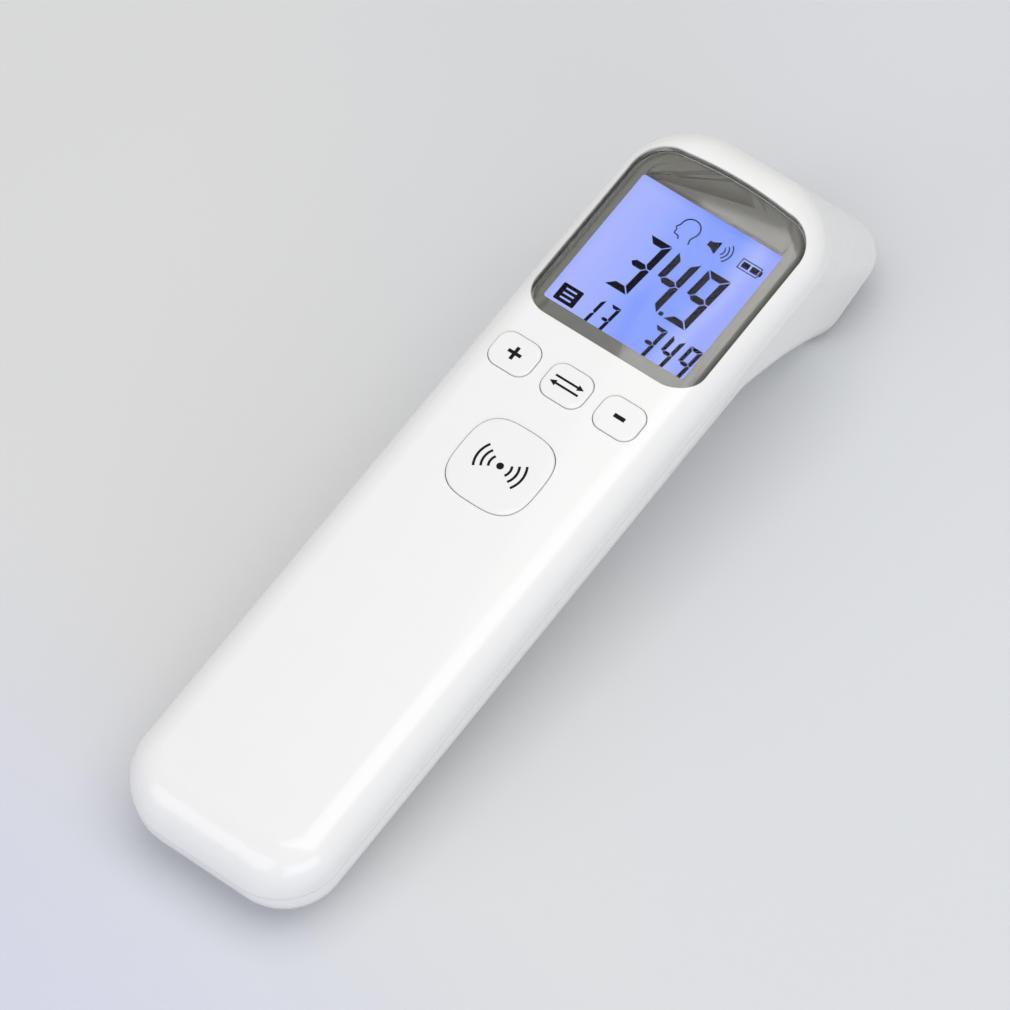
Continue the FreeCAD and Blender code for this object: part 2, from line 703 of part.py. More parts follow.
def main_board():
    half = S["board_wide"] * 0.5
    low, high = S["board_low"], S["board_high"]
    points = [(half, low), (half, high), (-half, high), (-half, low)]
    holes = [(x, y, D["screw_radius"] + 0.2) for x, y in BOARD_SCREWS]
    top = -S["board_deep"]
    board = padded("main_board", points, (top - S["board_thick"], top), S["board_corner"], holes)
    return keep(board, "main_board")


def chip(name, x, y, wide, long, tall):
    """A flat package on the board's rear side with gull-wing legs along two sides."""
    foot = -(S["board_deep"] + S["board_thick"])
    body = block(name + "_body", (x - wide / 2, x + wide / 2), (y - long / 2, y + long / 2),
                 (foot - tall, foot - 0.12))
    legs = []
    count = int(long / 1.27)
    for i in range(count):
        leg_y = y + (i - (count - 1) / 2) * 1.27
        leg = block(f"{name}_leg_{i}", (x - wide / 2 - 0.8, x + wide / 2 + 0.8),
                    (leg_y - 0.2, leg_y + 0.2), (foot - 0.3, foot))
        legs.append(leg)
    return keep(join(name, body, *legs), name)


def small_parts():
    """Chip capacitors and resistors in two short rows on the board's rear side."""
    foot = -(S["board_deep"] + S["board_thick"])
    parts = []
    for i in range(8):
        x, y = (-9.5 if i < 4 else 9.5), 74.0 + 3.0 * (i % 4)
        parts.append(block(f"chip_capacitor_{i + 1}", (x - 1.0, x + 1.0), (y - 0.6, y + 0.6),
                           (foot - 0.6, foot)))
    return keep(compound("chip_capacitors", parts), "chip_capacitors")


def crystal():
    foot = D["board_deep"] + D["board_thick"]
    lying = FreeCAD.Rotation(V(1, 0, 0), -90)
    return keep(rod("clock_crystal", 1.0, 6.0, (6.5, 92.0, -foot - 1.0), turn=lying), "clock_crystal")


def buzzer():
    """A round sounder on the board's rear side with a sound hole."""
    foot = D["board_deep"] + D["board_thick"]
    case = rod("buzzer_case", 4.5, 3.0, (9.0, 104.5, -foot - 3.0))
    hole = rod("buzzer_hole", 0.8, 1.5, (9.0, 104.5, -foot - 3.5))
    return keep(cut("buzzer", case, hole), "buzzer")


# ---------------------------------------------------------------- power

def cell_start(side):
    """Where a cell's can starts: the nipple's tip touches its contact, the spring fills the rest."""
    stop = D["plate_thick"] + 0.1
    if side == "left":
        return D["bay_high"] - stop - D["nipple_tall"] - D["cell_can"], -90
    return D["bay_low"] + stop + D["nipple_tall"] + D["cell_can"], 90


def battery(side):
    start, angle = cell_start(side)
    spot = V(CELL_SIDES[side] * D["cell_pitch"] / 2, start, -D["cell_deep"])
    r, can, tip = S["cell_radius"], S["cell_can"], S["nipple_radius"]
    points = [(0, 0), (r - 0.9, 0), (r - 0.9, 0.25), (r, 0.6), (r, can - 0.5), (r - 0.6, can),
              (tip, can), (tip, can + S["nipple_tall"]), (0, can + S["nipple_tall"])]
    turn = FreeCAD.Rotation(V(1, 0, 0), angle)
    return keep(turned("battery_" + side, points, FreeCAD.Placement(spot, turn)), "battery_" + side)


def contact_plate(name, x_range, end):
    """A sprung-brass plate against one end wall of the bay."""
    thick = S["plate_thick"]
    wall = S["bay_low"] + 0.1 if end == "low" else S["bay_high"] - 0.1 - thick
    return keep(block(name, x_range, (wall, wall + thick), (-14.0, -7.6)), name)


def coil(name, side):
    """The spring between a contact plate and a cell's flat end."""
    start, angle = cell_start(side)
    wall = D["bay_low"] + 0.1 + D["plate_thick"]
    if side == "right":
        wall = D["bay_high"] - 0.1 - D["plate_thick"]
    wire, gap = 0.32, abs(start - wall)
    length = gap - 2 * wire - 0.1
    coil_radius, turns = 2.3, 5.0
    helix = Part.makeHelix(length / turns, length, coil_radius)
    out, back = V(coil_radius + wire, 0, 0), V(coil_radius - wire, 0, 0)
    halves = [Part.Arc(out, V(coil_radius, 0, wire), back), Part.Arc(back, V(coil_radius, 0, -wire), out)]
    profile = Part.Wire([half.toShape() for half in halves])
    spring = Part.Wire(helix.Edges).makePipeShell([profile], True, True)
    turn = FreeCAD.Rotation(V(1, 0, 0), angle)
    away = -1 if side == "left" else 1
    spot = V(CELL_SIDES[side] * D["cell_pitch"] / 2, start + away * (length + wire + 0.05),
             -D["cell_deep"])
    spring.Placement = FreeCAD.Placement(spot, turn)
    return shaped(name, spring)


def power():
    for side in CELL_SIDES:
        battery(side)
    contact_plate("battery_bridge", (-9.6, 9.6), "low")
    contact_plate("battery_positive_contact", (-9.4, -1.8), "high")
    contact_plate("battery_negative_contact", (1.8, 9.4), "high")
    coil("bridge_spring", "left")
    coil("negative_spring", "right")


# ---------------------------------------------------------------- sensor

def nozzle_ring():
    """The insert in the rim: a plate with the bore that a test cap plugs into, and its barrel."""
    recess, lip = D["rim_recess"], D["rim_lip"] + 0.15
    plate = prism(rim_outline(lip, -0.15), V(0, 0, 0.15 - recess + 0.05))
    barrel = Part.makeCylinder(D["barrel_radius"], D["barrel_long"] - 0.5, V(0, 0, -D["barrel_long"]))
    bore = Part.makeCylinder(D["port_radius"], D["port_long"] + 0.15, V(0, 0, -D["port_long"] - 0.15))
    mouth_low = D["barrel_long"] + 0.01
    throat = Part.makeCone(3.2, D["port_radius"] - 0.4, mouth_low - D["port_long"] - 0.1,
                           V(0, 0, -mouth_low))
    ring = plate.fuse(barrel).cut([bore, throat]).removeSplitter()
    ring.Placement = SENSOR
    return shaped("nozzle_ring", ring)


def sensor_turned(name, points):
    return keep(turned(name, points, SENSOR), name)


def sensor():
    cup, can = S["cup_radius"], S["can_radius"]
    sensor_turned("sensor_seal", [(3.6, -10.48), (6.6, -10.48), (6.6, -10.02), (3.6, -10.02)])
    sensor_turned("sensor_cup", [(3.4, -12.0), (can + 0.15, -12.0), (can + 0.15, -19.0),
                                 (cup, -19.0), (cup, -10.5), (3.4, -10.5)])
    sensor_turned("thermopile_can", [(0, -16.9), (can, -16.9), (can, -12.1), (2.4, -12.1),
                                     (2.4, -12.5), (can - 0.4, -12.5), (can - 0.4, -16.5), (0, -16.5)])
    sensor_turned("sensor_window", [(0, -12.5), (2.3, -12.5), (2.3, -12.2), (0, -12.2)])
    pins = []
    for i, (x, y) in enumerate(((1.8, 1.8), (-1.8, 1.8), (-1.8, -1.8), (1.8, -1.8))):
        pins.append(rod(f"sensor_pin_{i + 1}", S["pin_radius"], 4.4, (x, y, -21.3), SENSOR))
    keep(compound("sensor_pins", pins), "sensor_pins")
    holes = [(x, y, 0.4) for x in (-1.8, 1.8) for y in (-1.8, 1.8)]
    holes += [(x, 0, D["screw_radius"] + 0.1) for x in (-D["post_reach"], D["post_reach"])]
    points = [(12, -6.5), (12, 6.5), (-12, 6.5), (-12, -6.5)]
    board = padded("sensor_board", points, (-20.05, -19.05), 1.5, holes)
    board.Placement = SENSOR
    keep(board, "sensor_board")


def sensor_ribbon():
    """The flat cable from the sensor's board to the main board."""
    start = SENSOR.multVec(V(0, 3.0, -20.1))
    path = [start, start + V(0, -0.6, 1.6), V(0, 141.0, -12.0), V(0, 138.6, -10.75), V(0, 135.0, -10.6)]
    lift = V(0, 0.1, 0.18)
    back = [p + lift for p in reversed(path)]
    strip = Part.Face(Part.makePolygon(path + back + [path[0]])).extrude(V(5, 0, 0))
    strip.translate(V(-2.5, 0, 0))
    return shaped("sensor_ribbon", strip)


# ---------------------------------------------------------------- fasteners

def screw(name, base, shank, at=FreeCAD.Placement(), turn=FreeCAD.Rotation()):
    """A pan-head screw with a cross slot; base is the underside of its head."""
    r, head = S["screw_radius"], S["screw_head"]
    place = at.multiply(FreeCAD.Placement(V(*base), turn))
    bolt = rod(name + "_shank", r, shank, (0, 0, -0.1), place)
    cap = rod(name + "_head", head, 0.9, (0, 0, -0.9), place)
    slots = [
        block(name + "_slot_x", (-1.0, 1.0), (-0.2, 0.2), (-1.0, -0.5), place),
        block(name + "_slot_y", (-0.2, 0.2), (-1.0, 1.0), (-1.0, -0.5), place),
    ]
    return cut(name, join(name + "_body", bolt, cap), *slots)


def screws():
    case = [screw(f"case_screw_{i}", (x, y, -D["cover_split"] + 1.4), 8.2)
            for i, (x, y) in enumerate(CASE_SCREWS, 1)]
    keep(compound("case_screws", case), "case_screws")
    foot = -D["board_deep"] - D["board_thick"]
    board = [screw(f"board_screw_{i}", (x, y, foot), 4.4) for i, (x, y) in enumerate(BOARD_SCREWS, 1)]
    keep(compound("board_screws", board), "board_screws")
    pair = [screw(f"retainer_screw_{i}", (x, 0, -20.05), 6.5, SENSOR)
            for i, x in enumerate((-D["post_reach"], D["post_reach"]), 1)]
    keep(compound("retainer_screws", pair), "retainer_screws")


# ---------------------------------------------------------------- assembly

def build():
    front_cover()
    rear_cover()
    battery_cover()
    window_lens()
    window_border()
    window_tape()
    nozzle_ring()
    for name in KEY_SPOTS:
        key(name)
        switch(name)
        plunger(name)
    display()
    lcd_holder()
    zebra_strip()
    backlight_leds()
    main_board()
    chip("microcontroller", 0.0, 84.0, 7.5, 10.3, 1.8)
    chip("memory_chip", -9.0, 96.0, 4.0, 5.0, 1.5)
    small_parts()
    crystal()
    buzzer()
    power()
    sensor()
    sensor_ribbon()
    screws()


def export():
    """Puts every sub-part in its resting place, checks it and writes it to parts."""
    rest = rest_placement()
    for obj in SUBPARTS:
        obj.Placement = rest.multiply(obj.Placement)
    DOC.recompute()
    bad = [f"{o.Name}: {o.State}" for o in DOC.Objects if "Invalid" in o.State or "Error" in o.State]
    if bad:
        raise RuntimeError("; ".join(bad))
    os.makedirs("parts", exist_ok=True)
    for obj in SUBPARTS:
        shape = obj.Shape
        if shape.isNull() or not shape.isValid() or not shape.Solids:
            raise RuntimeError(f"{obj.Label}: the shape is not a sound solid")
        shape.exportStep(f"parts/{obj.Label}.step")
        box = shape.BoundBox
        print(f"{obj.Label}: {len(shape.Solids)} solids, {shape.Volume:.0f} mm3, z from {box.ZMin:.2f}")


build()
export()
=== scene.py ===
import json
import math

import bmesh
import bpy
from mathutils import Matrix, Vector


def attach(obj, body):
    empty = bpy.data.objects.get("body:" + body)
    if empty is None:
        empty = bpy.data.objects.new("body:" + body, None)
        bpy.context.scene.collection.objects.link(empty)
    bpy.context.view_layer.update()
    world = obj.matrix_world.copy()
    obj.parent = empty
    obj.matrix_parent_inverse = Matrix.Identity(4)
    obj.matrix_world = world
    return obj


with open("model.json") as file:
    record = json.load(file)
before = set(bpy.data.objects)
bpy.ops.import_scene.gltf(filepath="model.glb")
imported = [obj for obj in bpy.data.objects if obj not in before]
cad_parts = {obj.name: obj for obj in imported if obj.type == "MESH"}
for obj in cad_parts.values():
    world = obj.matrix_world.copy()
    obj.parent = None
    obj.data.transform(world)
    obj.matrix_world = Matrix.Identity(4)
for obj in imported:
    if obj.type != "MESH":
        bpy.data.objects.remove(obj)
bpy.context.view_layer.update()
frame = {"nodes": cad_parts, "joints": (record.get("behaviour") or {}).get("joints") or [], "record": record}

MM = 0.001
NODES = frame["nodes"]
RECORD = frame["record"]


# ---------------------------------------------------------------- the body's own axes

# Where the mount on the battery cover lies, in the body's millimetres.
BACK_SPOT = Vector((0, 38.0, -19.0))


def body_axes():
    """The matrix from the thermometer's own axes, in millimetres, to the frame."""
    press = next(j for j in frame["joints"] if j["name"] == "scan_press")["axis"]
    back = next(m for m in RECORD["mounts"] if m["name"] == "battery_cover_face")["pos_m"]
    turn = Matrix.Rotation(math.atan2(press[1], -press[2]), 4, "X")
    scale = Matrix.Scale(MM, 4)
    move = Vector(back) - turn @ scale @ BACK_SPOT
    return Matrix.Translation(move) @ turn @ scale


REST = body_axes()


# ---------------------------------------------------------------- materials

def linear(red, green, blue):
    """Linear colour from display values between 0 and 255."""
    def one(value):
        value /= 255
        return value / 12.92 if value <= 0.04045 else ((value + 0.055) / 1.055) ** 2.4
    return one(red), one(green), one(blue), 1.0


def shader(name):
    """A new material, its node tree and its Principled node."""
    mat = bpy.data.materials.new(name)
    mat.use_nodes = True
    return mat, mat.node_tree, mat.node_tree.nodes["Principled BSDF"]


def noise_ramp(tree, scale, low, high, detail=3.0):
    """A noise texture in object space, remapped to values between low and high."""
    place = tree.nodes.new("ShaderNodeTexCoord")
    noise = tree.nodes.new("ShaderNodeTexNoise")
    noise.inputs["Scale"].default_value = scale
    noise.inputs["Detail"].default_value = detail
    ramp = tree.nodes.new("ShaderNodeMapRange")
    ramp.inputs["To Min"].default_value = low
    ramp.inputs["To Max"].default_value = high
    tree.links.new(place.outputs["Object"], noise.inputs["Vector"])
    tree.links.new(noise.outputs["Fac"], ramp.inputs["Value"])
    return ramp.outputs["Result"], noise


def tinted(tree, noise, dark, light):
    """A colour that drifts between two shades with the noise."""
    mix = tree.nodes.new("ShaderNodeMix")
    mix.data_type = "RGBA"
    mix.inputs["A"].default_value = dark
    mix.inputs["B"].default_value = light
    tree.links.new(noise.outputs["Fac"], mix.inputs["Factor"])
    return mix.outputs["Result"]


# How deep the grain is, in metres.
GRAIN_DEPTH = 0.00005


def plastic(name, colour, rough=(0.3, 0.36), grain=0.0, coat=0.0, metal=0.0, scale=220.0, drift=0.94,
            gloss=0.5, coat_ior=1.5):
    """A moulded or metal finish: slight drift in shade and in roughness, and an optional grain."""
    mat, tree, bsdf = shader(name)
    value, noise = noise_ramp(tree, scale, *rough)
    tree.links.new(value, bsdf.inputs["Roughness"])
    dark = tuple(c * drift for c in colour[:3]) + (1.0,)
    tree.links.new(tinted(tree, noise, dark, colour), bsdf.inputs["Base Color"])
    bsdf.inputs["Metallic"].default_value = metal
    bsdf.inputs["Specular IOR Level"].default_value = gloss
    bsdf.inputs["Coat Weight"].default_value = coat
    bsdf.inputs["Coat IOR"].default_value = coat_ior
    bsdf.inputs["Coat Roughness"].default_value = 0.03
    if grain:
        bump = tree.nodes.new("ShaderNodeBump")
        bump.inputs["Strength"].default_value = grain
        bump.inputs["Distance"].default_value = GRAIN_DEPTH
        tree.links.new(noise.outputs["Fac"], bump.inputs["Height"])
        tree.links.new(bump.outputs["Normal"], bsdf.inputs["Normal"])
    return mat


# Low, because the window shows next to no reflection.
WINDOW_IOR = 1.2


def window_glass():
    """Clear acrylic: a mirror by Fresnel over a see-through body that lets lamp light pass."""
    mat, tree, _ = shader("acrylic window")
    value, _ = noise_ramp(tree, 60.0, 0.012, 0.03)
    gloss = tree.nodes.new("ShaderNodeBsdfGlossy")
    tree.links.new(value, gloss.inputs["Roughness"])
    clear = tree.nodes.new("ShaderNodeBsdfTransparent")
    fresnel = tree.nodes.new("ShaderNodeFresnel")
    fresnel.inputs["IOR"].default_value = WINDOW_IOR
    mix = tree.nodes.new("ShaderNodeMixShader")
    tree.links.new(fresnel.outputs["Fac"], mix.inputs["Fac"])
    tree.links.new(clear.outputs["BSDF"], mix.inputs[1])
    tree.links.new(gloss.outputs["BSDF"], mix.inputs[2])
    tree.links.new(mix.outputs["Shader"], tree.nodes["Material Output"].inputs["Surface"])
    return mat


# Half the lit film's width in metres, and how far the noise shifts its streaks.
DISPLAY_HALF_WIDTH = 0.0145
DISPLAY_SWAY = 0.22


def lit_display():
    """The backlit film: blue-violet, paler on the left and along a soft streak on the right."""
    mat, tree, bsdf = shader("lit display")
    place = tree.nodes.new("ShaderNodeTexCoord")
    split = tree.nodes.new("ShaderNodeSeparateXYZ")
    tree.links.new(place.outputs["Object"], split.inputs["Vector"])
    across = tree.nodes.new("ShaderNodeMapRange")
    across.inputs["From Min"].default_value = -DISPLAY_HALF_WIDTH
    across.inputs["From Max"].default_value = DISPLAY_HALF_WIDTH
    tree.links.new(split.outputs["X"], across.inputs["Value"])
    drift = tree.nodes.new("ShaderNodeTexNoise")
    drift.inputs["Scale"].default_value = 70.0
    drift.inputs["Detail"].default_value = 1.0
    tree.links.new(place.outputs["Object"], drift.inputs["Vector"])
    sway = tree.nodes.new("ShaderNodeMath")
    sway.operation = "MULTIPLY_ADD"
    sway.inputs[1].default_value = DISPLAY_SWAY
    tree.links.new(drift.outputs["Fac"], sway.inputs[0])
    tree.links.new(across.outputs["Result"], sway.inputs[2])
    ramp = tree.nodes.new("ShaderNodeValToRGB")
    stops = ramp.color_ramp.elements
    stops[0].position, stops[0].color = 0.08, linear(168, 178, 251)
    stops[1].position, stops[1].color = 1.0, linear(142, 158, 250)
    for spot, colour in ((0.4, (150, 168, 252)), (0.6, (122, 150, 249)), (0.8, (120, 148, 249)),
                         (0.93, (160, 174, 252))):
        stop = stops.new(spot)
        stop.color = linear(*colour)
    tree.links.new(sway.outputs["Value"], ramp.inputs["Fac"])
    bsdf.inputs["Base Color"].default_value = (0.02, 0.02, 0.03, 1)
    bsdf.inputs["Roughness"].default_value = 0.5
    bsdf.inputs["Emission Strength"].default_value = 0.98
    tree.links.new(ramp.outputs["Color"], bsdf.inputs["Emission Color"])
    return mat


def brushed(name, colour, rough=(0.25, 0.4)):
    """Bare metal with a fine drift in its sheen."""
    return plastic(name, colour, rough, metal=1.0, scale=400.0, drift=0.85)


WHITE = plastic("glossy white ABS", linear(233, 232, 230), (0.2, 0.26), coat=0.3, drift=0.985)
KEY_WHITE = plastic("glossy white keys", linear(232, 231, 229), (0.22, 0.28), coat=0.2, drift=0.985)
MARK = plastic("black print", linear(14, 12, 12), (0.55, 0.65), gloss=0.15)
SEGMENT = plastic("dark display segment", linear(9, 5, 26), (0.7, 0.8), gloss=0.05)
FINISHES = {
    "white_abs": WHITE,
    "key_white": KEY_WHITE,
    "lens": window_glass(),
    "border_print": plastic("grey border print", linear(104, 103, 92), (0.5, 0.6), coat=1.0, coat_ior=1.85,
                            scale=900.0),
    "tape": plastic("black tape", linear(28, 28, 27), (0.7, 0.8)),
    "insert_grey": plastic("dark insert", linear(62, 63, 66), (0.42, 0.5), grain=0.3, scale=900.0),
    "switch_black": plastic("switch black", linear(30, 30, 32), (0.45, 0.55)),
    "plunger": plastic("plunger", linear(60, 60, 62), (0.4, 0.5)),
    "lcd_film": lit_display(),
    "lcd_glass": plastic("display glass", linear(120, 135, 210), (0.1, 0.15)),
    "light_guide": plastic("light guide", linear(190, 200, 255), (0.2, 0.3)),
    "lamp": plastic("lamp", linear(220, 225, 255), (0.3, 0.4)),
    "holder_white": plastic("white frame", linear(225, 225, 220), (0.5, 0.6)),
    "zebra": plastic("elastomer", linear(120, 60, 70), (0.6, 0.7)),
    "board_green": plastic("solder mask", linear(24, 92, 50), (0.3, 0.4), coat=0.3),
    "chip_black": plastic("package black", linear(28, 28, 30), (0.5, 0.6), grain=0.2, scale=1200.0),
    "chip_tan": plastic("ceramic tan", linear(165, 135, 100), (0.4, 0.5)),
    "crystal_can": brushed("crystal can", linear(205, 205, 208)),
    "cell": plastic("cell label", linear(40, 60, 110), (0.3, 0.4), coat=0.4),
    "contact": brushed("plated contact", linear(214, 206, 180)),
    "spring": brushed("spring wire", linear(205, 205, 208)),
    "cup_metal": brushed("turned aluminium", linear(214, 214, 216)),
    "can_metal": brushed("sensor can", linear(210, 204, 190)),
    "silicon": brushed("infrared filter", linear(96, 100, 112), (0.05, 0.1)),
    "seal": plastic("foam seal", linear(30, 30, 30), (0.8, 0.9)),
    "ribbon": plastic("flat cable", linear(206, 150, 60), (0.35, 0.45)),
    "screw": brushed("screw steel", linear(190, 190, 194)),
}


# ---------------------------------------------------------------- smoothing of the frame's meshes

# Degrees between two faces above which their edge stays sharp, and metres within which corners join.
SHARP_ANGLE = 32
WELD_DISTANCE = 2e-6


def smooth_by_angle():
    """A geometry node group that keeps an edge sharp only where its faces meet at a real corner."""
    group = bpy.data.node_groups.new("smooth by angle", "GeometryNodeTree")
    group.interface.new_socket("Geometry", in_out="INPUT", socket_type="NodeSocketGeometry")
    group.interface.new_socket("Geometry", in_out="OUTPUT", socket_type="NodeSocketGeometry")
    start = group.nodes.new("NodeGroupInput")
    end = group.nodes.new("NodeGroupOutput")
    angle = group.nodes.new("GeometryNodeInputMeshEdgeAngle")
    below = group.nodes.new("FunctionNodeCompare")
    below.data_type = "FLOAT"
    below.operation = "LESS_EQUAL"
    below.inputs["B"].default_value = math.radians(SHARP_ANGLE)
    faces = group.nodes.new("GeometryNodeSetShadeSmooth")
    faces.domain = "FACE"
    edges = group.nodes.new("GeometryNodeSetShadeSmooth")
    edges.domain = "EDGE"
    group.links.new(angle.outputs["Unsigned Angle"], below.inputs["A"])
    group.links.new(below.outputs["Result"], edges.inputs["Shade Smooth"])
    group.links.new(start.outputs[0], faces.inputs["Geometry"])
    group.links.new(faces.outputs["Geometry"], edges.inputs["Geometry"])
    group.links.new(edges.outputs["Geometry"], end.inputs[0])
    return group


def smooth(obj, group):
    """Join the meshes' split corners and shade them smooth, with flat faces kept flat."""
    weld = obj.modifiers.new("weld", "WELD")
    weld.merge_threshold = WELD_DISTANCE
    shade = obj.modifiers.new("smooth by angle", "NODES")
    shade.node_group = group
    weighted = obj.modifiers.new("weighted normals", "WEIGHTED_NORMAL")
    weighted.keep_sharp = True
    weighted.weight = 90


def finish_nodes():
    """Each CAD node gets the finish of its slot, and smooth shading."""
    slots = {part["node"]: part["material_slot"] for part in RECORD["subparts"]}
    group = smooth_by_angle()
    for name, obj in NODES.items():
        material = FINISHES[slots[name]]
        if not obj.material_slots:
            obj.data.materials.append(material)
        for material_slot in obj.material_slots:
            material_slot.material = material
        smooth(obj, group)


# ---------------------------------------------------------------- printed and shown marks

def prism(name, outlines, low, high, material, body):
    """Thin raised shapes: every outline, in the body's millimetres, between two heights."""
    bm = bmesh.new()
    for outline in outlines:
        base = [bm.verts.new(REST @ Vector((x, y, low))) for x, y in outline]
        top = [bm.verts.new(REST @ Vector((x, y, high))) for x, y in outline]
        count = len(outline)
        bm.faces.new(top)
        bm.faces.new(list(reversed(base)))
        for i in range(count):
            j = (i + 1) % count
            bm.faces.new((base[i], base[j], top[j], top[i]))
    bmesh.ops.recalc_face_normals(bm, faces=bm.faces)
    mesh = bpy.data.meshes.new(name)
    bm.to_mesh(mesh)
    bm.free()
    mesh.materials.append(material)
    obj = bpy.data.objects.new(name, mesh)
    bpy.context.scene.collection.objects.link(obj)
    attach(obj, body)


def arc(cx, cy, radius, start, end, steps=12):
    """Points on an arc, angles in degrees."""
    turns = [math.radians(start + (end - start) * i / steps) for i in range(steps + 1)]
    return [(cx + radius * math.cos(a), cy + radius * math.sin(a)) for a in turns]


def ribbon(path, width):
    """One outline that follows both sides of an open path."""
    half = width / 2
    left, right = [], []
    for i, (x, y) in enumerate(path):
        x0, y0 = path[max(i - 1, 0)]
        x1, y1 = path[min(i + 1, len(path) - 1)]
        long = math.hypot(x1 - x0, y1 - y0)
        nx, ny = -(y1 - y0) / long * half, (x1 - x0) / long * half
        left.append((x + nx, y + ny))
        right.append((x - nx, y - ny))
    return left + right[::-1]


def bar(cx, cy, wide, tall, corner=0.1):
    """A rounded rectangle."""
    points = []
    for sx, sy, start in ((1, 1, 0), (-1, 1, 90), (-1, -1, 180), (1, -1, 270)):
        x, y = cx + sx * (wide / 2 - corner), cy + sy * (tall / 2 - corner)
        points += arc(x, y, corner, start, start + 90, 4)
    return points


def frame_shapes(cx, cy, wide, tall, line):
    """The four bars of a hollow rectangle."""
    return [
        bar(cx, cy + (tall - line) / 2, wide, line, line * 0.3),
        bar(cx, cy - (tall - line) / 2, wide, line, line * 0.3),
        bar(cx - (wide - line) / 2, cy, line, tall - 2 * line, line * 0.1),
        bar(cx + (wide - line) / 2, cy, line, tall - 2 * line, line * 0.1),
    ]


# Heights and places of the marks, in the body's millimetres: X to the right, Y towards the head.
KEY_TOP = 0.3
KEY_ROW = 95.9
KEY_PITCH = 10.38
SCAN_ROW = 78.4
PRINT_SUNK = 0.05
PRINT_PROUD = 0.03

PLUS_ARM = 1.25
PLUS_THICK = 0.6
MINUS_WIDE = 2.1
MINUS_THICK = 0.75

ARROW_APART = 0.62
ARROW_TIP = 2.9
ARROW_TAIL = 2.6
ARROW_NECK = 1.0
ARROW_HEAD = 1.15
ARROW_SHAFT = 0.19
ARROW_BARB = 0.56

WAVE_RADII = (1.9, 3.1, 4.3)
WAVE_HALF_ANGLE = 32
WAVE_WIDTH = 0.42
WAVE_DOT = 0.62


def cross(cx, cy, arm, thick):
    """A plus sign: the same three corners in every quarter turn."""
    half = thick / 2
    corners = [(half, half), (half, arm), (-half, arm)]
    points = []
    for _ in range(4):
        points += [(cx + x, cy + y) for x, y in corners]
        corners = [(-y, x) for x, y in corners]
    return points


def arrow(side):
    """A shaft and a pointed head on the middle key, towards +X for side 1 and -X for side -1."""
    y = KEY_ROW + side * ARROW_APART
    tip, tail = side * ARROW_TIP, -side * ARROW_TAIL
    neck = tip - side * ARROW_NECK
    barb = tip - side * ARROW_HEAD
    low, high = y - ARROW_SHAFT, y + ARROW_SHAFT
    shaft = [(tail, low), (neck, low), (neck, high), (tail, high)]
    head = [(tip, y), (barb, y + ARROW_BARB), (barb, y - ARROW_BARB)]
    return [shaft, head]


def scan_waves():
    """A dot with three waves to each side of it."""
    shapes = [arc(0, SCAN_ROW, WAVE_DOT, 0, 360, 24)[:-1]]
    for radius in WAVE_RADII:
        for middle in (0, 180):
            wave = arc(0, SCAN_ROW, radius, middle - WAVE_HALF_ANGLE, middle + WAVE_HALF_ANGLE, 16)
            shapes.append(ribbon(wave, WAVE_WIDTH))
    return shapes


def key_marks():
    """The dark print on the keys, which moves with them."""
    def mark(name, shapes, body):
        prism(name, shapes, KEY_TOP - PRINT_SUNK, KEY_TOP + PRINT_PROUD, MARK, body)

    mark("plus_mark", [cross(-KEY_PITCH, KEY_ROW, PLUS_ARM, PLUS_THICK)], "plus_key")
    mark("minus_mark", [bar(KEY_PITCH, KEY_ROW, MINUS_WIDE, MINUS_THICK, 0.06)], "minus_key")
    mark("mode_mark", arrow(1) + arrow(-1), "mode_key")
    mark("scan_mark", scan_waves(), "scan_key")


# Which of a digit's seven bars are dark: a top, b upper right, c lower right, d bottom, f upper left,
# g middle. The lower left one, e, is dark in none of these figures.
BARS = {"1": "bc", "3": "abcdg", "4": "bcfg", "9": "abcdfg"}
BAR_GAP = 0.14 / 1.15

# The lit film's height, its lower end and the row of small icons, in the body's millimetres.
DISPLAY_TOP = -3.0
DISPLAY_FOOT = 107.0
ICON_ROW = 130.75
SEGMENT_FOOT = 0.02
SEGMENT_PROUD = 0.06


def digit(figure, right, top, wide, tall, thick, lean):
    """The dark bars of one figure; lean is the shift of its foot, and the display's foot cuts it off."""
    w, t, m, g = wide, thick, thick / 2, thick * BAR_GAP
    half = tall / 2

    def place(points):
        spots = []
        for x, y in points:
            y_clip = max(y, DISPLAY_FOOT - top)
            spots.append((right - wide + x + lean * y_clip / tall, top + y_clip))
        return spots

    shapes = {
        "a": [(g, 0), (w - g, 0), (w - t - g, -t), (t + g, -t)],
        "b": [(w, -g), (w, -half + g), (w - m, -half + g / 2), (w - t, -half + m + g), (w - t, -t - g)],
        "c": [(w, -half - g), (w, -tall + g), (w - t, -tall + t + g), (w - t, -half - m - g),
              (w - m, -half - g / 2)],
        "d": [(g, -tall), (w - g, -tall), (w - t - g, -tall + t), (t + g, -tall + t)],
        "f": [(0, -g), (0, -half + g), (m, -half + g / 2), (t, -half + m + g), (t, -t - g)],
        "g": [(m + g, -half), (t + g, -half + m), (w - t - g, -half + m), (w - m - g, -half),
              (w - t - g, -half - m), (t + g, -half - m)],
    }
    dark = [shapes[letter] for letter in BARS[figure]]
    return [place(points) for points in dark if top + max(y for _, y in points) > DISPLAY_FOOT]


def number(rights, **sizes):
    """Several figures in a row, each with the X of its right edge."""
    shapes = []
    for figure, right in rights.items():
        shapes += digit(figure, right, **sizes)
    return shapes


def decimal_point():
    """A small square that leans like the figures."""
    left, foot, wide, tall, lean = 2.85, 115.75, 0.75, 0.7, 0.06
    return [(left, foot), (left + wide, foot), (left + wide + lean, foot + tall), (left + lean, foot + tall)]


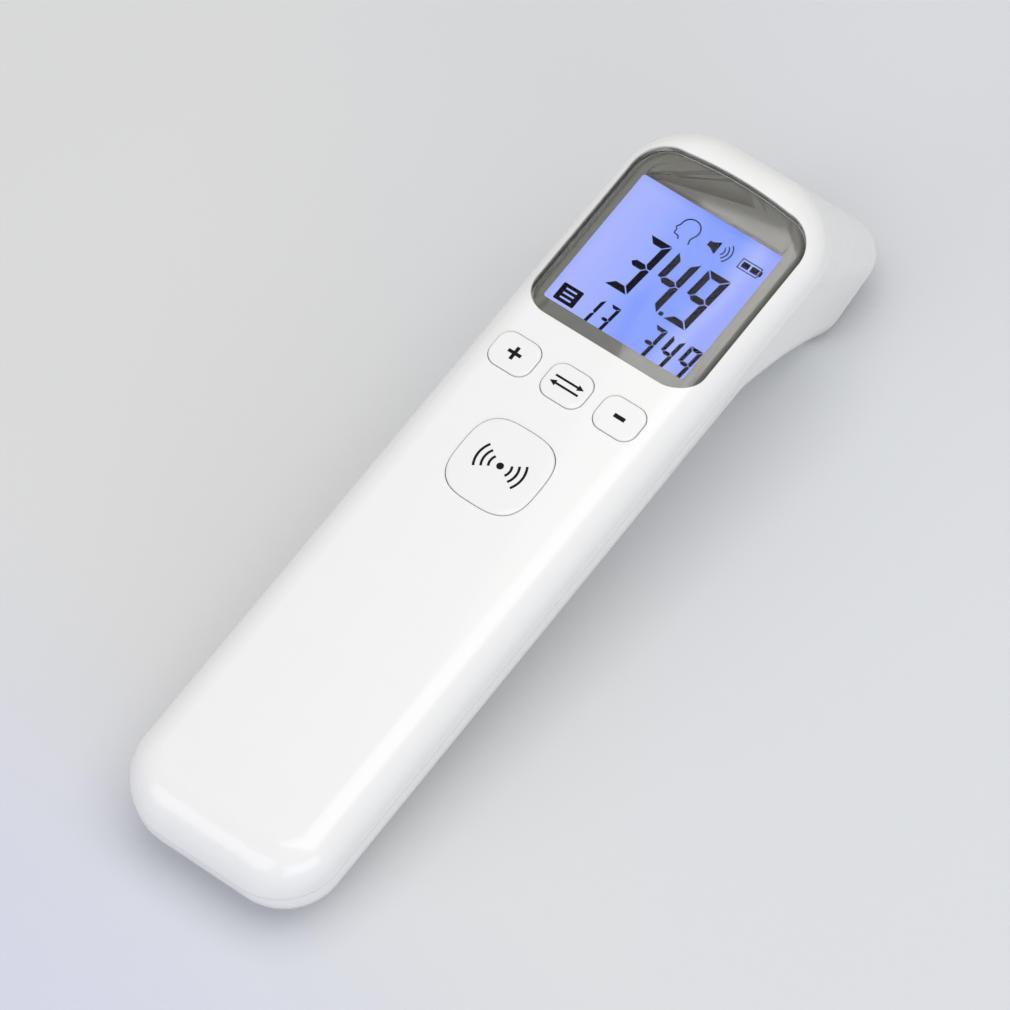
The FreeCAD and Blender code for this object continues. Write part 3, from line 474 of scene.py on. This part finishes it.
def record_badge():
    """A dark tag with cut-out list lines."""
    left, right, top, foot = -12.95, -9.05, 112.2, 108.85
    rim, side, line, lines = 0.5, 0.9, 0.34, 3
    middle = (left + right) / 2
    low, high = foot + rim / 2, top - rim / 2
    step = (top - foot - 0.7) / lines
    shapes = [bar(middle, y, right - left, rim, 0.22) for y in (high, low)]
    for x in (left, right - side):
        shapes.append([(x, low), (x + side, low), (x + side, high), (x, high)])
    for i in range(lines + 1):
        start = foot + 0.35 + (i - 0.5) * step + line / 2
        y0, y1 = max(start, foot + 0.3), min(start + step - line, top - 0.3)
        shapes.append([(left + 0.8, y0), (right - 0.8, y0), (right - 0.8, y1), (left + 0.8, y1)])
    return shapes


def head_outline():
    """A plain head in outline, turned to the left: a round skull, a short nose and an open neck."""
    skull = arc(-2.15, 131.3, 1.75, -20, 150, 18)
    face = [(-3.85, 131.6), (-3.9, 131.1), (-4.3, 130.4), (-3.95, 130.2), (-3.9, 129.35), (-3.0, 129.2),
            (-2.7, 128.7)]
    nape = [(-0.7, 128.7), (-0.95, 129.6), (-0.75, 130.2)]
    return nape + skull + face


def sound_icon():
    """A loudspeaker and three sound waves."""
    shapes = [[(1.85, 130.35), (2.45, 130.35), (3.75, 129.6), (3.75, 132.15), (2.45, 131.4), (1.85, 131.4)]]
    for radius in (1.0, 1.65, 2.3):
        shapes.append(ribbon(arc(3.95, 130.87, radius, -48, 48, 12), 0.2))
    return shapes


def battery_icon():
    """A cell in outline, its end cap and two dark blocks of charge."""
    return frame_shapes(10.1, ICON_ROW, 3.9, 2.05, 0.16) + [
        bar(12.25, ICON_ROW, 0.34, 1.0, 0.08),
        bar(9.3, ICON_ROW, 1.35, 1.1, 0.05),
        bar(11.05, ICON_ROW, 1.4, 1.1, 0.05),
    ]


def display_marks():
    """The dark segments of the display, just above the lit film."""
    def shown(name, shapes):
        low, high = DISPLAY_TOP + SEGMENT_FOOT, DISPLAY_TOP + SEGMENT_PROUD
        prism(name, shapes, low, high, SEGMENT, "casing")

    main = number({"3": -2.35, "4": 3.45, "9": 9.25},
                  top=126.95, wide=4.35, tall=11.25, thick=1.2, lean=1.0)
    count = number({"1": -5.25, "3": -2.3},
                   top=113.15, wide=1.95, tall=5.9, thick=0.58, lean=0.6)
    stored = number({"3": 6.25, "4": 9.8, "9": 13.25},
                    top=114.1, wide=2.4, tall=6.7, thick=0.7, lean=0.6)
    shown("main_figures", main + [decimal_point()])
    shown("record_number", count)
    shown("record_figures", stored)
    shown("record_badge", record_badge())
    shown("head_icon", [ribbon(head_outline(), 0.22)])
    shown("sound_icon", sound_icon())
    shown("battery_icon", battery_icon())


# ---------------------------------------------------------------- floor, light and camera

def floor_finish():
    """Pale card with painted light: a little brighter and cooler to one side, and faint painted lavender
    light towards the handle's end.
    """
    mat, tree, bsdf = shader("pale floor")
    value, noise = noise_ramp(tree, 6.0, 0.75, 0.85)
    tree.links.new(value, bsdf.inputs["Roughness"])
    place = tree.nodes.new("ShaderNodeTexCoord")

    def slope(direction, start, end):
        """Rises softly from 0 to 1 along a direction, between two distances from the middle in metres."""
        dot = tree.nodes.new("ShaderNodeVectorMath")
        dot.operation = "DOT_PRODUCT"
        dot.inputs[1].default_value = direction
        tree.links.new(place.outputs["Object"], dot.inputs[0])
        ramp = tree.nodes.new("ShaderNodeMapRange")
        ramp.interpolation_type = "SMOOTHSTEP"
        ramp.inputs["From Min"].default_value = start
        ramp.inputs["From Max"].default_value = end
        tree.links.new(dot.outputs["Value"], ramp.inputs["Value"])
        return ramp.outputs["Result"]

    def mixed(first, second, factor):
        """A colour that goes over to a second one with the factor."""
        mix = tree.nodes.new("ShaderNodeMix")
        mix.data_type = "RGBA"
        tree.links.new(first, mix.inputs["A"])
        mix.inputs["B"].default_value = second
        tree.links.new(factor, mix.inputs["Factor"])
        return mix.outputs["Result"]

    base = tinted(tree, noise, linear(213, 213, 213), linear(218, 218, 217))
    # Painted light: the floor's tone goes over to a cooler, slightly brighter shade along this direction,
    # where lamp light falls.
    lit = mixed(base, linear(213, 215, 217), slope((0.79, 0.61, 0.0), -0.06, 0.06))
    # Painted shade colour: a faint lavender tint where the floor lies in shade towards the handle's end.
    painted_lavender_light_tint = mixed(lit, linear(208, 210, 223), slope((-0.1, -1.0, 0.0), 0.045, 0.115))
    tree.links.new(painted_lavender_light_tint, bsdf.inputs["Base Color"])
    return mat


# The floor's radius and its distance below the part, in metres, and how its rings are spread.
FLOOR_RADIUS = 5.0
FLOOR_RINGS = 24
FLOOR_SPOKES = 64
RING_SPREAD = 1.6
FLOOR_DROP = 0.0001


def floor():
    """A plain pale disc under the thermometer, wider than the camera sees, with finer rings near it."""
    bm = bmesh.new()
    turns = [2 * math.pi * i / FLOOR_SPOKES for i in range(FLOOR_SPOKES)]
    centre = bm.verts.new((0, 0, 0))
    last = None
    for ring in range(1, FLOOR_RINGS + 1):
        radius = FLOOR_RADIUS * (ring / FLOOR_RINGS) ** RING_SPREAD
        row = [bm.verts.new((radius * math.cos(turn), radius * math.sin(turn), 0)) for turn in turns]
        for i in range(FLOOR_SPOKES):
            j = (i + 1) % FLOOR_SPOKES
            bm.faces.new((centre, row[i], row[j]) if last is None else (last[i], row[i], row[j], last[j]))
        last = row
    mesh = bpy.data.meshes.new("floor")
    bm.to_mesh(mesh)
    bm.free()
    obj = bpy.data.objects.new("floor", mesh)
    bpy.context.scene.collection.objects.link(obj)
    obj.location.z = -FLOOR_DROP
    mesh.materials.append(floor_finish())


def lamp(name, centre, normal, right, size, power, colour):
    """A rectangular soft light, in the frame's metres, that faces along normal."""
    data = bpy.data.lights.new(name, "AREA")
    data.shape = "RECTANGLE"
    data.size, data.size_y = size
    data.energy = power
    data.color = colour
    obj = bpy.data.objects.new(name, data)
    bpy.context.scene.collection.objects.link(obj)
    z_axis = -Vector(normal).normalized()
    x_axis = (Vector(right) - z_axis * Vector(right).dot(z_axis)).normalized()
    y_axis = z_axis.cross(x_axis)
    turn = Matrix((x_axis, y_axis, z_axis)).transposed().to_4x4()
    obj.matrix_world = Matrix.Translation(centre) @ turn
    obj.visible_camera = False


# The softbox's far left corner, a second spot on its left edge, its size and its height: all in the
# body's millimetres.
BOX_CORNER = Vector((-248.0, 401.0))
BOX_EDGE = Vector((-214.0, 223.0))
BOX_WIDE = 700.0
BOX_LONG = 500.0
BOX_HEIGHT = 600.0

# The lamps' powers in watts, and the strength of the even surround.
SOFTBOX = 2.0
SIDE_FILL = 3.8
END_FILL = 2.2
AMBIENT = 0.62


def softbox():
    """The main light overhead: its left and far edges show as a reflection in the window."""
    down = (BOX_EDGE - BOX_CORNER).normalized()
    across = Vector((-down.y, down.x))
    middle = BOX_CORNER + down * BOX_LONG / 2 + across * BOX_WIDE / 2
    normal = (REST.to_3x3() @ Vector((0, 0, -1))).normalized()
    right = (REST.to_3x3() @ Vector((across.x, across.y, 0))).normalized()
    centre = REST @ Vector((middle.x, middle.y, BOX_HEIGHT))
    lamp("softbox", centre, normal, right, (BOX_WIDE * MM, BOX_LONG * MM), SOFTBOX, (1.0, 0.985, 0.965))


def lights():
    """The softbox, a cool fill from the camera's side, one from its left, and an even surround."""
    softbox()
    lamp("side_fill", centre=(0.95, -0.75, 0.42), normal=(-0.95, 0.75, -0.4), right=(0.75, 0.95, 0),
         size=(1.4, 0.55), power=SIDE_FILL, colour=(0.9, 0.96, 1.06))
    lamp("end_fill", centre=(-0.35, -1.15, 0.5), normal=(0.35, 1.15, -0.48), right=(1.15, -0.35, 0),
         size=(0.8, 0.6), power=END_FILL, colour=(0.97, 0.97, 1.0))
    world = bpy.data.worlds.new("studio")
    world.use_nodes = True
    sky = world.node_tree.nodes["Background"]
    sky.inputs["Color"].default_value = (0.975, 0.985, 1.01, 1)
    sky.inputs["Strength"].default_value = AMBIENT
    bpy.context.scene.world = world


# The camera's lens in millimetres, its place in metres and its turn in degrees.
CAMERA_LENS = 231.39
CAMERA_SENSOR = 36.0
CAMERA_SHIFT = -0.00498
CAMERA_REACH = 20.0
CAMERA_PLACE = (0.36117, -0.47626, 0.85795)
CAMERA_TURN = (35.3327, -0.0635, 37.4941)


def camera():
    """A long lens from the front right, about 55 degrees above the floor."""
    data = bpy.data.cameras.new("camera")
    data.lens = CAMERA_LENS
    data.sensor_width = CAMERA_SENSOR
    data.shift_y = CAMERA_SHIFT
    data.clip_end = CAMERA_REACH
    obj = bpy.data.objects.new("camera", data)
    bpy.context.scene.collection.objects.link(obj)
    obj.location = CAMERA_PLACE
    obj.rotation_euler = [math.radians(angle) for angle in CAMERA_TURN]
    bpy.context.scene.camera = obj


finish_nodes()
key_marks()
display_marks()
floor()
lights()
camera()
bpy.context.scene.view_settings.view_transform = "Standard"
